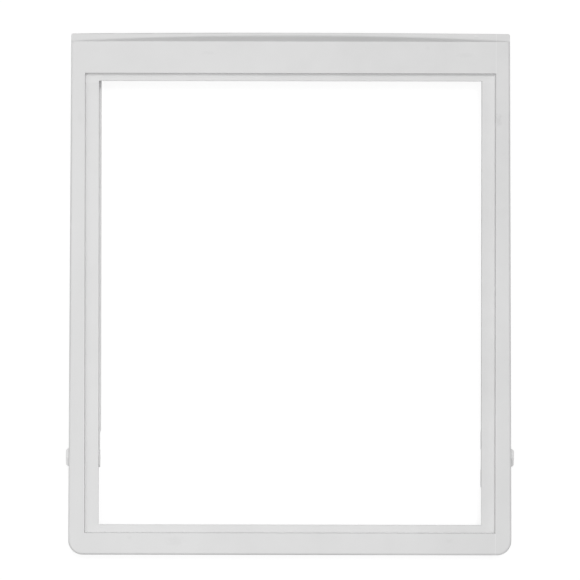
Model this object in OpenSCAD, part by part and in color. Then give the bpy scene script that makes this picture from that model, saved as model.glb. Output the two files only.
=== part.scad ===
// Cover frame for a refrigerator crisper drawer, moulded in one piece.
// Millimetres. X across, Y from front to rear, Z up. The origin is under the
// middle of the frame, in the plane of the runner soles.

/* [Frame] */
// Depth from the front face to the rear face
frame_d = 469.4; // [400:0.2:540]
// Width across the rear bar, to the corners of its outline
rear_w = 399.4; // [395:0.2:410]
// Angle at which each side draws in towards the front
side_taper = 0.256; // [0:0.001:0.4]
// Radius of the two rear corners in plan
rear_corner_r = 13; // [6:0.5:18]
// Radius of the two front corners in plan
front_corner_r = 2; // [1:0.5:4]
// Height of the outer skirt, down from the top of the border
skirt_h = 14.5; // [11:0.5:18]
// Wall thickness of the border, the skirt and the webs
wall = 2.4; // [1.8:0.1:3]
// Rounding of the outer top edge
edge_r = 2.2; // [0.8:0.1:2.4]

/* [Seat] */
// Width of the recess that takes the panel
seat_w = 370; // [350:0.2:374]
// Distance from the front face to the recess
seat_front = 35.5; // [26:0.1:50]
// Distance from the rear face to the recess
seat_rear = 19.8; // [14:0.2:36]
// Depth of the recess below the border
seat_depth = 4.5; // [3:0.1:6]
// Thickness of the ledge that carries the panel
ledge_t = 2.4; // [1.6:0.1:3.4]
// Width of the ledge along each side
ledge_side = 12.2; // [8:0.2:16]
// Width of the ledge along the front
ledge_front = 6.4; // [4:0.1:12]
// Width of the ledge along the rear
ledge_rear = 6.9; // [4:0.1:12]

/* [Front lip] */
// Height of the lip over the border, at mid width
lip_h = 7; // [5:0.1:9]
// Height of the lip over the border, at its ends
lip_end_h = 0.2; // [0.1:0.1:2]
// Distance from the foot of the lip to the front face
lip_foot = 7.3; // [6.6:0.1:10]
// Width of the level crest in front of the nose rounding
lip_crest = 1.2; // [0.4:0.1:1.4]
// Rounding between the crest and the slope
lip_nose_r = 2.8; // [1:0.1:3]
// Rounding between the slope and the border
lip_foot_r = 0.5; // [0.3:0.1:1]
// Rounding of the front edge of the crest
lip_front_r = 0.8; // [0.4:0.1:1]
// Distance from the side faces to the ends of the lip
lip_inset = 0.5; // [0.3:0.1:1]

/* [Runners] */
// Clear height of the channel for the rim of the drawer
channel_h = 12.2; // [9:0.1:16]
// Thickness of the runner flange
runner_t = 2.4; // [1.8:0.1:3.2]
// Reach of the right runner flange towards the middle, from its web
right_reach = 12.8; // [8:0.1:14]
// Reach of the left runner flange towards the middle, from its web
left_reach = 11; // [8:0.1:14]
// Distance from the front face to the place where both webs start down to their runners
runner_start = 6; // [4:0.5:20]
// Distance from the rear face to the rear end of the right runner
right_back = 77.4; // [40:0.2:130]
// Distance from the rear face to the rear end of the left runner
left_back = 59.6; // [40:0.2:130]
// Chamfer at the front end of each runner flange
lead_in = 6; // [2:0.5:8]

/* [Stops] */
// Length of each stop along the runner
stop_l = 16; // [10:0.5:20]
// Height of each stop over the runner flange
stop_h = 2.4; // [1:0.1:4]
// Distance of each stop past the flange tip
stop_out = 0.5; // [0.2:0.1:1]
// Width of each stop across the flange
stop_w = 3; // [2:0.5:6]
// Gap between the two stops on the left runner
stop_gap = 18.5; // [10:0.5:26]
// Setback of the right flange in front of its stop
notch_out = 0.9; // [0.4:0.1:2]
// Length of that setback in front of the stop
notch_l = 16.5; // [4:0.5:24]

/* [Side tabs] */
// Distance from the rear face to the rear end of each side tab
tab_back = 79.4; // [30:0.2:120]
// Length of each side tab
tab_l = 16; // [10:0.2:24]
// Reach of each side tab past the skirt
tab_out = 2.8; // [2:0.1:5]
// Height of each side tab
tab_h = 6; // [4:0.5:9]
// Drop from the top of the border to the top of each side tab
tab_drop = 4; // [3:0.5:5]
// Fall of the rear half of each side tab
tab_ramp = 3; // [1:0.5:4]
// Chamfer of the ends of each side tab in plan
tab_chamfer = 1.4; // [1:0.1:4]

/* [Ribs] */
// Thickness of the ribs
rib_t = 1.6; // [1:0.1:2.4]
// Greatest distance between ribs
rib_pitch = 44; // [30:1:60]
// Distance of the ribs above the lower edge of the skirt
rib_rise = 1.6; // [0.5:0.1:3]

/* [Hidden] */
// Fineness of the small roundings
round_fn = 48;
$fn = round_fn;
// Overlap that keeps joined shapes from meeting in a bare edge
lap = 0.5;
// Small overshoot where a rounding meets a face
touch = 0.02;
// Fineness of the wide arc of the crown, and the degrees it runs on past the lip at each end
crown_fn = 720;
crown_spare = 1;
// Levels over the runner soles
channel_z = runner_t + channel_h;
ledge_z = channel_z + ledge_t;
top_z = ledge_z + seat_depth;
plate_z = top_z - wall;
skirt_z = top_z - skirt_h;
rib_z = skirt_z + rib_rise;
// Faces along Y
front_y = -frame_d / 2;
rear_y = frame_d / 2;
seat_y0 = front_y + seat_front;
seat_y1 = rear_y - seat_rear;
// Faces along X, to either side
seat_x = seat_w / 2;
web_x = seat_x + wall;
// Centre of the right rear corner, and the length of rim drawn in front of it
rear_c = [
    side_x(rear_y - rear_corner_r) - rear_corner_r / cos(side_taper), rear_y - rear_corner_r
];
side_run = frame_d - rear_corner_r + lap;
// Width of the level strip that belongs to the rim section
rim_in = edge_r + wall;
// Half width of the lip, and how far its crest falls from mid width to either end
lip_x = side_x(front_y) - lip_inset;
lip_fall = lip_h - lip_end_h;
// Radius of the crown along the crest, up to the next 10 mm
crown_r = 10 * ceil((lip_x ^ 2 + lip_fall ^ 2) / (20 * lip_fall));
// Slope of the inner face of the lip, tangent to the roundings above and below
lip_run = lip_foot - lip_crest;
lip_rise = lip_h - lip_nose_r - lip_foot_r;
lip_slope = atan2(lip_rise, lip_run) + asin((lip_nose_r + lip_foot_r) / norm([lip_run, lip_rise]));

// Half width of the outer face at a place along Y
function side_x(y) = rear_w / 2 - (rear_y - y) * tan(side_taper);

// Points of an arc about c from angle a to angle b
function arc(c, r, a, b, n = 6) =
    [for (i = [0:n]) c + r * [cos(a + (b - a) * i / n), sin(a + (b - a) * i / n)]];

// Places that part the stretch from a to b into equal bays no wider than the pitch
function bays(a, b) =
    let (n = ceil((b - a) / rib_pitch)) [for (i = [1:1:n - 1]) a + (b - a) * i / n];

// Turns a section drawn in Y and Z into a bar that is w wide, centred on X
module bar(w) {
    translate([-w / 2, 0, 0]) rotate([90, 0, 90]) linear_extrude(w) children();
}

// Makes the right-hand shape on both sides
module both_sides() {
    children();
    mirror([1, 0, 0]) children();
}

// Section of the skirt and its rounded edge: x inwards from the outer face, y up from the top
module rim_section() {
    difference() {
        translate([0, -skirt_h]) square([rim_in, skirt_h]);
        translate([wall, -skirt_h - lap]) square([rim_in, skirt_h - wall + lap]);
        difference() {
            translate([-lap, -edge_r]) square([edge_r + lap, edge_r + lap]);
            translate([edge_r, -edge_r]) circle(edge_r);
        }
    }
}

// Length of rim that ends at the origin and comes from -Y, its outer face in the YZ plane
module rim_run(len) {
    translate([0, -len, 0]) rotate([90, 0, 180]) linear_extrude(len) rim_section();
}

// Skirt and rounded edge along the sides, the rear corners and the rear
module rim() {
    both_sides() {
        translate([rear_c.x, rear_c.y, top_z]) rotate([0, 0, -side_taper]) {
            translate([rear_corner_r, 0, 0]) rim_run(side_run);
            rotate_extrude(angle = 90 + side_taper)
                translate([rear_corner_r, 0]) mirror([1, 0]) rim_section();
        }
        translate([0, rear_y, top_z]) rotate([0, 0, 90]) rim_run(rear_c.x);
    }
}

// Waste outside the arc of the right front corner. The arc crosses the faces a touch
// before it runs level with them.
module front_corner_waste() {
    c = [side_x(front_y) - front_corner_r + touch, front_y + front_corner_r - touch];
    translate([0, 0, -lap]) linear_extrude(top_z + lip_h + 2 * lap) difference() {
        translate([c.x, front_y - lap]) square([front_corner_r + lap, c.y - front_y + lap]);
        translate(c) circle(front_corner_r);
    }
}

// Flat top of the border around the recess
module border() {
    inset = edge_r + wall / 2;
    r = rear_corner_r - inset;
    right = concat(
        [[side_x(front_y) - inset, front_y + wall / 2]],
        arc(rear_c, r, -side_taper, 90)
    );
    left = [for (i = [len(right) - 1:-1:0]) [-right[i].x, right[i].y]];
    translate([0, 0, plate_z]) linear_extrude(wall) difference() {
        polygon(concat(right, left));
        seat_outline(0);
    }
}

// Outline of the recess, grown on every side
module seat_outline(grow) {
    translate([-seat_x - grow, seat_y0 - grow])
        square([seat_w + 2 * grow, seat_y1 - seat_y0 + 2 * grow]);
}

// Ledge that carries the panel, around the window
module ledge() {
    translate([0, 0, channel_z]) linear_extrude(ledge_t) difference() {
        seat_outline(wall / 2);
        translate([-seat_x + ledge_side, seat_y0 + ledge_front])
            square([seat_w - 2 * ledge_side, seat_y1 - seat_y0 - ledge_front - ledge_rear]);
    }
}

// Walls under the front and rear edges of the recess
module cross_walls() {
    w = 2 * seat_x + wall;
    bar(w) translate([seat_y0 - wall, channel_z]) square([wall, top_z - wall / 2 - channel_z]);
    bar(w) translate([seat_y1, skirt_z]) square([wall, top_z - wall / 2 - skirt_z]);
}

// Section of the lip and the front wall behind it: x from the front face, y from the border
module lip_section() {
    nose = [lip_crest, lip_h - lip_nose_r];
    foot = [lip_foot, lip_foot_r];
    polygon(concat(
        [[0, -wall], [0, lip_h]],
        arc(nose, lip_nose_r, 90, 90 - lip_slope),
        arc(foot, lip_foot_r, 270 - lip_slope, 270),
        [[lip_foot, -wall]]
    ));
}

// Hollow under the lip, one wall inside its slope
module lip_hollow_section() {
    on_slope = [lip_crest, lip_h - lip_nose_r]
        + (lip_nose_r - wall) * [sin(lip_slope), cos(lip_slope)];
    top_y = on_slope.y - (wall - on_slope.x) * tan(lip_slope);
    low_x = on_slope.x + (on_slope.y + wall) / tan(lip_slope);
    polygon([[wall, -wall - lap], [wall, top_y], [low_x, -wall], [low_x, -wall - lap]]);
}

// Disc whose upper arc is the crown, less a depth
module crown_disc(less) {
    r = crown_r - less;
    translate([0, front_y - lap, top_z + lip_h - crown_r]) rotate([-90, 0, 0])
        cylinder(h = lip_foot + 2 * lap, r = r, $fn = crown_fn);
}

// Lip along the front edge, its crest crowned from end to end
module lip() {
    half = atan2(lip_x, crown_r) + crown_spare;
    intersection() {
        translate([0, front_y, top_z]) bar(2 * lip_x) lip_section();
        translate([0, front_y, top_z + lip_h - crown_r]) rotate([-90, 0, 0])
            rotate_extrude(angle = 2 * half, start = 270 - half, $fn = crown_fn) crest_section();
    }
}

// Radial section of the crest, rounded along its front edge: x the radius, y from the front face
module crest_section() {
    depth = lip_h + 2 * wall;
    difference() {
        translate([crown_r - depth, 0]) square([depth, lip_foot + lap]);
        difference() {
            translate([crown_r - lip_front_r, -lap]) square([lip_front_r + lap, lip_front_r + lap]);
            translate([crown_r - lip_front_r, lip_front_r]) circle(lip_front_r, $fn = round_fn);
        }
    }
}

// Front wall, cut away between the webs so that a drawer passes under it
module front_wall() {
    half = side_x(front_y) - wall / 2;
    translate([0, front_y + wall, 0]) rotate([90, 0, 0]) linear_extrude(wall) polygon([
        [-half, skirt_z], [-seat_x, skirt_z], [-seat_x, channel_z], [seat_x, channel_z],
        [seat_x, skirt_z], [half, skirt_z], [half, plate_z + lap], [-half, plate_z + lap]
    ]);
}

// Web of the right side: it reaches down to the sole along the runner, and to the skirt beyond
module web(back) {
    y0 = front_y + runner_start;
    y1 = rear_y - back;
    translate([seat_x, 0, 0]) rotate([90, 0, 90]) linear_extrude(wall) polygon([
        [front_y + wall / 2, skirt_z], [y0, skirt_z], [y0 + skirt_z, 0],
        [y1, 0], [y1 + skirt_z, skirt_z], [seat_y1 + wall, skirt_z],
        [seat_y1 + wall, top_z - wall / 2], [front_y + wall / 2, top_z - wall / 2]
    ]);
}

// Flange of the right runner, its tip set back by notch over its last stretch
module flange(back, reach, notch, notch_run) {
    y0 = front_y + runner_start + skirt_z;
    y1 = rear_y - back;
    tip = seat_x - reach;
    root = seat_x + wall / 2;
    linear_extrude(runner_t) polygon([
        [root, y0], [tip + lead_in, y0], [tip, y0 + lead_in],
        [tip, y1 - notch_run], [tip + notch, y1 - notch_run], [tip + notch, y1], [root, y1]
    ]);
}

// Stop on the tip of the right runner, with a ramp at each end; it ends at y1
module stop(tip, y1) {
    base = runner_t - lap;
    translate([tip - stop_out, 0, 0]) rotate([90, 0, 90]) linear_extrude(stop_w) polygon([
        [y1 - stop_l, base], [y1, base], [y1, runner_t], [y1 - stop_h, runner_t + stop_h],
        [y1 - stop_l + stop_h, runner_t + stop_h], [y1 - stop_l, runner_t]
    ]);
}

module right_runner() {
    y1 = rear_y - right_back;
    tip = seat_x - right_reach + notch_out;
    web(right_back);
    flange(right_back, right_reach, notch_out, stop_l + notch_l);
    stop(tip, y1);
}

module left_runner() {
    y1 = rear_y - left_back;
    tip = seat_x - left_reach;
    mirror([1, 0, 0]) {
        web(left_back);
        flange(left_back, left_reach, 0, stop_l);
        stop(tip, y1);
        stop(tip, y1 - stop_l - stop_gap);
    }
}

// Side tab on the right: chamfered in plan, with a slope down to its rear end
module side_tab() {
    y1 = rear_y - tab_back;
    y0 = y1 - tab_l;
    x0 = side_x(y0) - wall / 2;
    x1 = side_x(y0) + tab_out;
    low = top_z - tab_drop - tab_h;
    high = top_z - tab_drop;
    intersection() {
        translate([0, 0, low]) linear_extrude(tab_h) polygon([
            [x0, y0], [x1 - tab_chamfer, y0], [x1, y0 + tab_chamfer],
            [x1, y1 - tab_chamfer], [x1 - tab_chamfer, y1], [x0, y1]
        ]);
        translate([x0 - lap, 0, 0]) rotate([90, 0, 90]) linear_extrude(x1 - x0 + 2 * lap) polygon([
            [y0 - lap, low - lap], [y1 + lap, low - lap], [y1 + lap, high - tab_ramp],
            [y0 + tab_l / 2, high], [y0 - lap, high]
        ]);
    }
}

// Ribs between the skirt and the webs, and across the front and rear bars
module ribs() {
    h = plate_z + lap;
    for (y = bays(front_y, rear_y), m = [0, 1]) mirror([m, 0, 0])
        translate([web_x - lap, y - rib_t / 2, rib_z])
            cube([side_x(y) - web_x - wall / 2 + lap, rib_t, h - rib_z]);
    for (x = bays(-seat_x, seat_x)) {
        translate([x - rib_t / 2, front_y + wall - lap, channel_z + rib_rise])
            cube([rib_t, seat_front - 2 * wall + 2 * lap, h - channel_z - rib_rise]);
        translate([x - rib_t / 2, seat_y1 + wall - lap, rib_z])
            cube([rib_t, seat_rear - 2 * wall + 2 * lap, h - rib_z]);
    }
}

// Space in front of the front face, where the tapered sides are trimmed
module front_waste() {
    translate([-rear_w, front_y - 2 * lap, -lap])
        cube([2 * rear_w, 2 * lap, top_z + lip_h + 2 * lap]);
}

// The whole moulding
module cover_frame() {
    color("whitesmoke") difference() {
        union() {
            rim();
            border();
            ledge();
            cross_walls();
            front_wall();
            lip();
            right_runner();
            left_runner();
            both_sides() side_tab();
            ribs();
        }
        intersection() {
            translate([0, front_y, top_z]) bar(seat_w - 2 * lap) lip_hollow_section();
            crown_disc(wall);
        }
        front_waste();
        both_sides() front_corner_waste();
    }
}

cover_frame();
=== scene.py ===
"""A moulded crisper cover frame of white plastic, seen straight from above on a pale floor.

Lengths are in metres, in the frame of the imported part: X to the right seen from the front,
Y from the front bar to the rear bar, Z up. The photograph shows the front bar at the top,
so the right side of the part is on its left.
"""

import math

import bpy
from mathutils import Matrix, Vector

MM = 0.001
WHITE = (1, 1, 1, 1)

# The photograph: its width, the pixel at the middle of the frame, and its scale on the border
PHOTO_PX = 580
CENTRE_PX = (290.2, 294.5)
MM_PER_PX = 0.9

# The camera: its height above the border, its roll, and the width of its sensor in mm
CAMERA_HEIGHT = 1.7
CAMERA_ROLL = math.radians(0.10)
SENSOR_WIDTH = 36

# The part: half its width at the rear, half its depth, the draw of its sides, the radius of its
# rear corners, and the levels of its ledge and border above the soles
HALF_WIDTH = 199.7 * MM
HALF_DEPTH = 234.7 * MM
SIDE_DRAW = math.tan(math.radians(0.256))
CORNER_RADIUS = 13 * MM
LEDGE_Z = 17 * MM
BORDER_Z = 21.5 * MM

# Shares of the light on a level surface. They add up to 0.9, at which a colour renders about
# as it is written
WORLD_SHARE = 0.51
KEY_SHARE = 0.195
TOP_SHARE = 0.195

# Light of the surroundings: the power by which it grows from the horizon up, how much more
# comes from the front and from the right, and how much less from both sides
WORLD_POWER = 0.5
FRONT_LEAN = 0.19
RIGHT_LEAN = 0.7
SIDE_CUT = 1.0

# The soft key beyond the front bar and the square lamp overhead, both a little to the left
KEY_ELEVATION = math.radians(70)
KEY_SIDE = -0.14
KEY_SOFTNESS = math.radians(12)
TOP_PLACE = Vector((-0.07, 0.08, 1.2))
TOP_SIZE = 0.6

# The floor: its grey for the light that it throws back, its grey where it is seen, which takes
# the shadow, and the glow that lifts it there to white
FLOOR_SIZE = 8
FLOOR_Z = -0.05 * MM
FLOOR_GREY = 0.6
FLOOR_SHADOW = 0.2
FLOOR_GLOW = 0.865

# The plastic: its grey, how that grows with each metre to the right and to the rear as a
# painted fall of light, its refraction, its least and greatest roughness, the rounding of its
# sharp edges, and the rays that look for what is near a point
PLASTIC_GREY = 0.76
TONE_PER_X = 0.23
TONE_PER_Y = 0.05
PLASTIC_IOR = 1.49
ROUGHNESS = (0.40, 0.50)
EDGE_RADIUS = 0.4 * MM
NEAR_SAMPLES = 8

# Noise: the span of its values that is used, its detail and roughness where they aren't the
# usual ones, its scale, and the tone or the height in mm that it gives
NOISE_SPAN = (0.3, 0.7)
DETAILED = 3
FINE = 0.6
CLOUD_SCALE = 14
CLOUD_TONE = (0.985, 1.015)
FLOW_SCALE = 40
FLOW_STRETCH = (1, 0.2, 1)
FLOW_TONE = (0.994, 1.006)
GLOSS_SCALE = 90
GRAIN_SCALE = 2600
GRAIN_HEIGHT = 0.012
RIPPLE_SCALE = 60
RIPPLE_HEIGHT = 0.05

# Painted shade, darker in corners near other surfaces: how near another surface it starts,
# how open the corner is where it is full and where it ends, and its tone
CORNER_SHADE_REACH = 2.5 * MM
CORNER_SHADE_OPENNESS = (0.25, 0.75)
CORNER_SHADE_TONE = 0.93

# Plastic below the ledge is paler by this factor: painted light, for light thrown back there
UNDER_LEDGE_LIGHT = 1.18
UNDER_LEDGE_Z = (4 * MM, 14 * MM)

# Softer rounding along the brow of the lip: from this height and this far back from the front
BROW_RADIUS = 3 * MM
BROW_Z = (BORDER_Z + 0.2 * MM, BORDER_Z + 1 * MM)
BROW_Y = (-234.2 * MM, -232.6 * MM)

# Broad changes of tone. The border is darker at mid length of the two sides, and the left
# ledge is darker with painted shade but for the foot of its step, whose wall is paler with
# painted light, as the front ledge is
ABOVE_LEDGE_Z = (LEDGE_Z + 0.1 * MM, LEDGE_Z + 0.6 * MM)
SIDE_X = (165 * MM, 172 * MM)
SIDE_MIDDLE = 40 * MM
SIDE_REACH = (80 * MM, 200 * MM)
SIDE_DARK = 0.013
LEFT_LEDGE_PAINTED_SHADE = 0.046
LEFT_FOOT_X = (-184.8 * MM, -183.6 * MM)
LEFT_WALL_PAINTED_LIGHT = 0.13
LEFT_WALL_OUTSIDE = (-185.3 * MM, -185.1 * MM)
LEFT_WALL_INSIDE = (-184.9 * MM, -184.7 * MM)
FRONT_LEDGE_PAINTED_LIGHT = 0.03
FRONT_LEDGE_Y = (-192 * MM, -190 * MM)

# Tone of the rounded outer edge, painted shade along the rear and the middle of the right side
# and painted light at the ends of the sides: how far in and how far down it goes, and how much
# darker it is at the ends and the middle of the left and right sides, and along the rear
RIM_IN = (2.2 * MM, 0.4 * MM)
RIM_BOTTOM = (18.5 * MM, 19.5 * MM)
RIM_TOP = (BORDER_Z + 0.1 * MM, BORDER_Z + 0.4 * MM)
RIM_ENDS = (-0.08, -0.04)
RIM_MIDDLE = (0.0, 0.10)
RIM_MIDDLE_Y = -43 * MM
RIM_MIDDLE_REACH = (95 * MM, 150 * MM)
RIM_REAR = 0.14
RIM_REAR_X = (-130 * MM, -10 * MM)
RIM_REAR_Y = (218 * MM, 226 * MM)

# Marks of use on the border: pixel across and down, half width and half depth in mm, and how
# much darker it is there, or paler where that is below 0. Their outlines are uneven, they fade
# from the first to the second share of their half width, and above a depth below the border
MARKS = (
    (498.3, 120, 3.2, 6.4, 0.085),
    (80, 118, 3.5, 6.0, 0.03),
    (208, 53, 6.0, 2.0, 0.03),
    (427, 48, 2.5, 2.0, 0.03),
    (465, 55, 9.0, 2.5, 0.03),
    # These two paint the highlight and the shade of a nick at the left end of the lip's brow
    (476, 36.2, 2.2, 0.7, -0.06),
    (476, 37.8, 2.2, 0.8, 0.07),
    (130, 538, 3.0, 2.0, 0.03),
    (175, 541, 9.0, 5.0, 0.03),
    (450, 541, 3.0, 2.0, 0.03),
)
MARK_WARP = (-0.35, 0.35)
MARK_WARP_SCALE = 420
MARK_SPAN = (0.3, 1.2)
MARK_Z = (BORDER_Z - 3 * MM, BORDER_Z)


class Graph:
    """Short calls for making and joining the nodes of one material or world."""

    def __init__(self, tree):
        self.tree = tree
        tree.nodes.clear()

    def node(self, kind, inputs=(), **settings):
        made = self.tree.nodes.new(kind)
        for name, value in settings.items():
            setattr(made, name, value)
        for name, value in dict(inputs).items():
            if isinstance(value, bpy.types.NodeSocket):
                self.tree.links.new(value, made.inputs[name])
            else:
                made.inputs[name].default_value = value
        return made

    def math(self, operation, a, b=0.0):
        return self.node("ShaderNodeMath", {0: a, 1: b}, operation=operation).outputs[0]

    def add(self, a, b):
        return self.math("ADD", a, b)

    def take(self, a, b):
        return self.math("SUBTRACT", a, b)

    def times(self, first, *others):
        for other in others:
            first = self.math("MULTIPLY", first, other)
        return first

    def between(self, share, a, b):
        """From a to b as share goes from 0 to 1."""
        return self.add(a, self.times(share, self.take(b, a)))

    def apart(self, a, b=0.0):
        return self.math("ABSOLUTE", self.take(a, b))

    def ramp(self, value, low, high, to_low=0.0, to_high=1.0):
        """Value from low to high, turned smoothly into to_low to to_high."""
        inputs = {0: value, 1: low, 2: high, 3: to_low, 4: to_high}
        made = self.node("ShaderNodeMapRange", inputs, interpolation_type="SMOOTHSTEP")
        return made.outputs[0]

    def length(self, vector):
        measured = self.node("ShaderNodeVectorMath", {0: vector}, operation="LENGTH")
        return measured.outputs["Value"]

    def noise(self, place, scale, detail=2.0, roughness=0.5, stretch=(1, 1, 1)):
        moved = self.node("ShaderNodeMapping", {"Vector": place, "Scale": stretch}).outputs[0]
        inputs = {"Vector": moved, "Scale": scale, "Detail": detail, "Roughness": roughness}
        return self.node("ShaderNodeTexNoise", inputs).outputs["Fac"]

    def uneven(self, to, *args, **settings):
        """Noise that goes smoothly between the two values of to."""
        return self.ramp(self.noise(*args, **settings), *NOISE_SPAN, *to)

    def grey(self, level):
        return self.node("ShaderNodeCombineColor", {0: level, 1: level, 2: level}).outputs[0]

    def seen(self):
        """1 for rays from the camera and for rays that mirror or pass light, else 0."""
        path = self.node("ShaderNodeLightPath").outputs
        both = self.math("MAXIMUM", path["Is Camera Ray"], path["Is Glossy Ray"])
        return self.math("MAXIMUM", both, path["Is Transmission Ray"])


def photo_place(px, py):
    """Where a pixel of the photograph lies on the border, as X and Y."""
    scale = MM_PER_PX * MM
    return (CENTRE_PX[0] - px) * scale, (py - CENTRE_PX[1]) * scale


def mark_tone(g, place, spot):
    """Tone of the marks on the border."""
    warp = g.uneven(MARK_WARP, place, MARK_WARP_SCALE, DETAILED, FINE)
    dark = 0.0
    for px, py, half_w, half_d, depth in MARKS:
        x, y = photo_place(px, py)
        half_w, half_d = half_w * MM, half_d * MM
        inputs = {
            "Vector": place,
            "Location": (-x / half_w, -y / half_d, 0),
            "Scale": (1 / half_w, 1 / half_d, 0),
        }
        local = g.node("ShaderNodeMapping", inputs).outputs[0]
        reach = g.add(g.length(local), warp)
        dark = g.add(g.ramp(reach, *MARK_SPAN, depth, 0.0), dark)
    on_top = g.ramp(spot["Z"], *MARK_Z)
    return g.take(1.0, g.times(dark, on_top))


def painted_broad_tone(g, spot):
    """Slope of tone over the whole as a painted fall of light, with that of the sides, painted
    shade and light on the ledges and the step's wall, and painted light below the ledge.
    """
    # A painted fall of light across the part
    slope = g.add(g.times(spot["X"], TONE_PER_X), 1.0)
    slope = g.add(g.times(spot["Y"], TONE_PER_Y), slope)
    # Painted light below the ledge
    under_ledge_light = g.ramp(spot["Z"], *UNDER_LEDGE_Z, UNDER_LEDGE_LIGHT, 1.0)

    raised = g.ramp(spot["Z"], *ABOVE_LEDGE_Z)
    side = g.ramp(g.apart(spot["X"]), *SIDE_X)
    middle = g.ramp(g.apart(spot["Y"], SIDE_MIDDLE), *SIDE_REACH, 1.0, 0.0)
    # Painted shade on the left ledge, fading out at the foot of its step
    ledge = g.ramp(spot["X"], -SIDE_X[1], -SIDE_X[0], LEFT_LEDGE_PAINTED_SHADE, 0.0)
    ledge = g.times(ledge, g.ramp(spot["X"], *LEFT_FOOT_X))
    dark = g.times(side, middle, g.between(raised, ledge, SIDE_DARK))

    # Painted light on the front ledge and on the wall of the left step
    front = g.ramp(spot["Y"], *FRONT_LEDGE_Y, FRONT_LEDGE_PAINTED_LIGHT, 0.0)
    front = g.times(front, g.take(1.0, raised))
    wall = g.ramp(spot["X"], *LEFT_WALL_OUTSIDE, 0.0, LEFT_WALL_PAINTED_LIGHT)
    wall = g.times(wall, g.ramp(spot["X"], *LEFT_WALL_INSIDE, 1.0, 0.0), raised)
    local = g.add(1.0, g.take(g.add(front, wall), dark))
    return g.times(slope, under_ledge_light, local)


def painted_rim_tone(g, spot):
    """Painted shade and light on the rounded outer edge along the sides and the rear."""
    draw = g.times(g.take(HALF_DEPTH, spot["Y"]), SIDE_DRAW)
    past_x = g.take(g.add(g.apart(spot["X"]), draw), HALF_WIDTH - CORNER_RADIUS)
    past_y = g.take(spot["Y"], HALF_DEPTH - CORNER_RADIUS)
    past = {0: g.math("MAXIMUM", past_x, 0.0), 1: g.math("MAXIMUM", past_y, 0.0)}
    reach = g.length(g.node("ShaderNodeCombineXYZ", past).outputs[0])
    rim = g.ramp(reach, CORNER_RADIUS - RIM_IN[0], CORNER_RADIUS - RIM_IN[1])
    rim = g.times(rim, g.ramp(spot["Z"], *RIM_BOTTOM), g.ramp(spot["Z"], *RIM_TOP, 1.0, 0.0))

    # Painted shade along the rear and the middle of the right side, painted light at the ends of
    # the sides
    ends = g.ramp(spot["X"], -MM, MM, *RIM_ENDS)
    middle = g.ramp(spot["X"], -MM, MM, *RIM_MIDDLE)
    at_middle = g.ramp(g.apart(spot["Y"], RIM_MIDDLE_Y), *RIM_MIDDLE_REACH, 1.0, 0.0)
    side = g.between(at_middle, ends, middle)
    rear = g.ramp(spot["X"], *RIM_REAR_X, 0.0, RIM_REAR)
    dark = g.between(g.ramp(spot["Y"], *RIM_REAR_Y), side, rear)
    return g.take(1.0, g.times(rim, dark))


def plastic_colour(g, place, spot):
    """Grey of the plastic, with all that changes it, painted light and shade among it."""
    clouds = g.uneven(CLOUD_TONE, place, CLOUD_SCALE, DETAILED)
    flow = g.uneven(FLOW_TONE, place, FLOW_SCALE, stretch=FLOW_STRETCH)
    inputs = {"Distance": CORNER_SHADE_REACH}
    # Painted shade: the colour darkens in corners, near other surfaces
    corner = g.node("ShaderNodeAmbientOcclusion", inputs, samples=NEAR_SAMPLES).outputs["AO"]
    corner_shade = g.ramp(corner, *CORNER_SHADE_OPENNESS, CORNER_SHADE_TONE, 1.0)
    tone = g.times(clouds, painted_broad_tone(g, spot), painted_rim_tone(g, spot), flow)
    return g.grey(g.times(tone, mark_tone(g, place, spot), corner_shade, PLASTIC_GREY))


def plastic_normal(g, place, spot):
    """Rounded edges, with a fine grain and a slight ripple on the surface."""
    brow = g.times(g.ramp(spot["Z"], *BROW_Z), g.ramp(spot["Y"], *BROW_Y))
    radius = g.add(g.times(brow, BROW_RADIUS - EDGE_RADIUS), EDGE_RADIUS)
    rounded = g.node("ShaderNodeBevel", {"Radius": radius}, samples=NEAR_SAMPLES).outputs[0]
    grain = g.times(g.noise(place, GRAIN_SCALE, roughness=FINE), GRAIN_HEIGHT)
    height = g.add(grain, g.times(g.noise(place, RIPPLE_SCALE), RIPPLE_HEIGHT))
    inputs = {"Height": height, "Normal": rounded, "Distance": MM}
    return g.node("ShaderNodeBump", inputs).outputs[0]


def white_plastic():
    """Satin moulded plastic: fine grain, slight changes of tone, painted light and shade,
    painted shade in the corners, marks.
    """
    material = bpy.data.materials.new("white_plastic")
    material.use_nodes = True
    g = Graph(material.node_tree)
    place = g.node("ShaderNodeTexCoord").outputs["Object"]
    spot = g.node("ShaderNodeSeparateXYZ", {0: place}).outputs
    inputs = {
        "Base Color": plastic_colour(g, place, spot),
        "Roughness": g.uneven(ROUGHNESS, place, GLOSS_SCALE, DETAILED),
        "Normal": plastic_normal(g, place, spot),
        "IOR": PLASTIC_IOR,
    }
    shader = g.node("ShaderNodeBsdfPrincipled", inputs)
    g.node("ShaderNodeOutputMaterial", {"Surface": shader.outputs[0]})
    return material


def dress_frame():
    material = white_plastic()
    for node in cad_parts.values():
        node.data.materials.clear()
        node.data.materials.append(material)


def make_floor():
    """Level pale floor: it takes the shadow, and glows where it is seen so that it is white."""
    bpy.ops.mesh.primitive_plane_add(size=FLOOR_SIZE, location=(0, 0, FLOOR_Z))
    floor = bpy.context.object
    floor.name = "floor"
    material = bpy.data.materials.new("floor")
    material.use_nodes = True
    g = Graph(material.node_tree)
    seen = g.seen()
    level = g.take(FLOOR_GREY, g.times(seen, FLOOR_GREY - FLOOR_SHADOW))
    matt = g.node("ShaderNodeBsdfDiffuse", {"Color": g.grey(level)})
    strength = g.times(seen, FLOOR_GLOW)
    glow = g.node("ShaderNodeEmission", {"Color": WHITE, "Strength": strength})
    both = g.node("ShaderNodeAddShader", {0: matt.outputs[0], 1: glow.outputs[0]})
    g.node("ShaderNodeOutputMaterial", {"Surface": both.outputs[0]})
    floor.data.materials.append(material)


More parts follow.
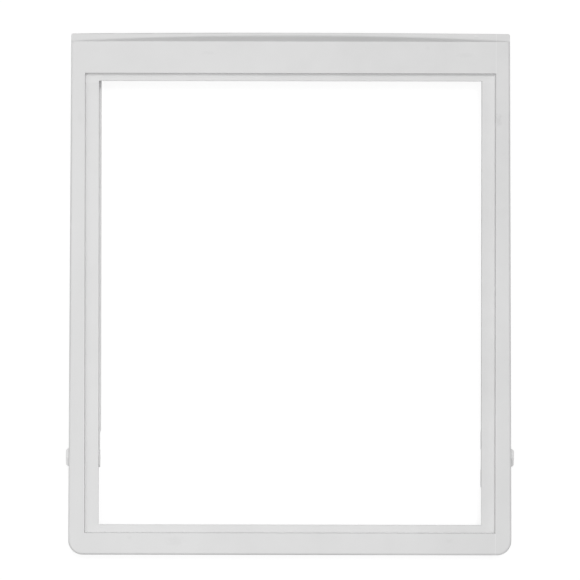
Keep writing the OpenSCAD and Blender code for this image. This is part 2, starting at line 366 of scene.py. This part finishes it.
def make_world():
    """White surroundings: even where they are seen, and as a light strongest overhead."""
    world = bpy.data.worlds.new("studio")
    bpy.context.scene.world = world
    world.use_nodes = True
    g = Graph(world.node_tree)
    way = g.node("ShaderNodeTexCoord").outputs["Generated"]
    way = g.node("ShaderNodeSeparateXYZ", {0: way}).outputs
    # What comes from the whole sky adds up to WORLD_SHARE on a level surface
    zenith = WORLD_SHARE * (WORLD_POWER + 2) / 2 / (1 - SIDE_CUT / (WORLD_POWER + 4))
    height = g.math("POWER", g.math("MAXIMUM", way["Z"], 0.0), WORLD_POWER)
    lean = g.take(1.0, g.times(way["Y"], FRONT_LEAN))
    lean = g.add(lean, g.times(way["X"], RIGHT_LEAN))
    side = g.take(1.0, g.times(g.math("POWER", way["X"], 2.0), SIDE_CUT))
    light = g.times(height, zenith, lean, side)
    strength = g.math("MAXIMUM", light, g.seen())
    sky = g.node("ShaderNodeBackground", {"Color": WHITE, "Strength": strength})
    g.node("ShaderNodeOutputWorld", {"Surface": sky.outputs[0]})


def add_lamp(name, kind, place):
    """A lamp at a place, turned to the middle of the part."""
    data = bpy.data.lights.new(name, kind)
    lamp = bpy.data.objects.new(name, data)
    bpy.context.scene.collection.objects.link(lamp)
    lamp.location = place
    lamp.rotation_euler = (-place).to_track_quat("-Z", "Y").to_euler()
    lamp.visible_camera = False
    return data


def make_lamps():
    """Soft key from beyond the front bar, and a broad lamp of the same share overhead."""
    place = Vector((KEY_SIDE, -math.cos(KEY_ELEVATION), math.sin(KEY_ELEVATION)))
    key = add_lamp("key", "SUN", place)
    key.angle = KEY_SOFTNESS
    key.energy = KEY_SHARE * math.pi / math.sin(KEY_ELEVATION)

    top = add_lamp("top", "AREA", TOP_PLACE)
    top.size = TOP_SIZE
    fall = TOP_PLACE.z / TOP_PLACE.length**3
    top.energy = TOP_SHARE * math.pi**2 / fall


def make_camera():
    """Straight above the frame, with the front bar at the top of the picture."""
    data = bpy.data.cameras.new("camera")
    camera = bpy.data.objects.new("camera", data)
    bpy.context.scene.collection.objects.link(camera)
    bpy.context.scene.camera = camera
    middle_x, middle_y = photo_place(PHOTO_PX / 2, PHOTO_PX / 2)
    camera.location = (middle_x, middle_y, BORDER_Z + CAMERA_HEIGHT)
    camera.rotation_euler = (0, 0, math.pi + CAMERA_ROLL)
    data.sensor_width = SENSOR_WIDTH
    data.lens = SENSOR_WIDTH * CAMERA_HEIGHT / (PHOTO_PX * MM_PER_PX * MM)


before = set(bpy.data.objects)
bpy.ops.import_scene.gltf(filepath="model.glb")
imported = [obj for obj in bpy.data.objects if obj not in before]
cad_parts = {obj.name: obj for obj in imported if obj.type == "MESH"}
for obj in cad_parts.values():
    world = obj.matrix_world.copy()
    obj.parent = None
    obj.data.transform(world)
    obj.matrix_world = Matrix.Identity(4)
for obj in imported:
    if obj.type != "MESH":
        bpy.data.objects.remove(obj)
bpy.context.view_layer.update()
bpy.context.scene.view_settings.view_transform = "Standard"
dress_frame()
make_floor()
make_world()
make_lamps()
make_camera()
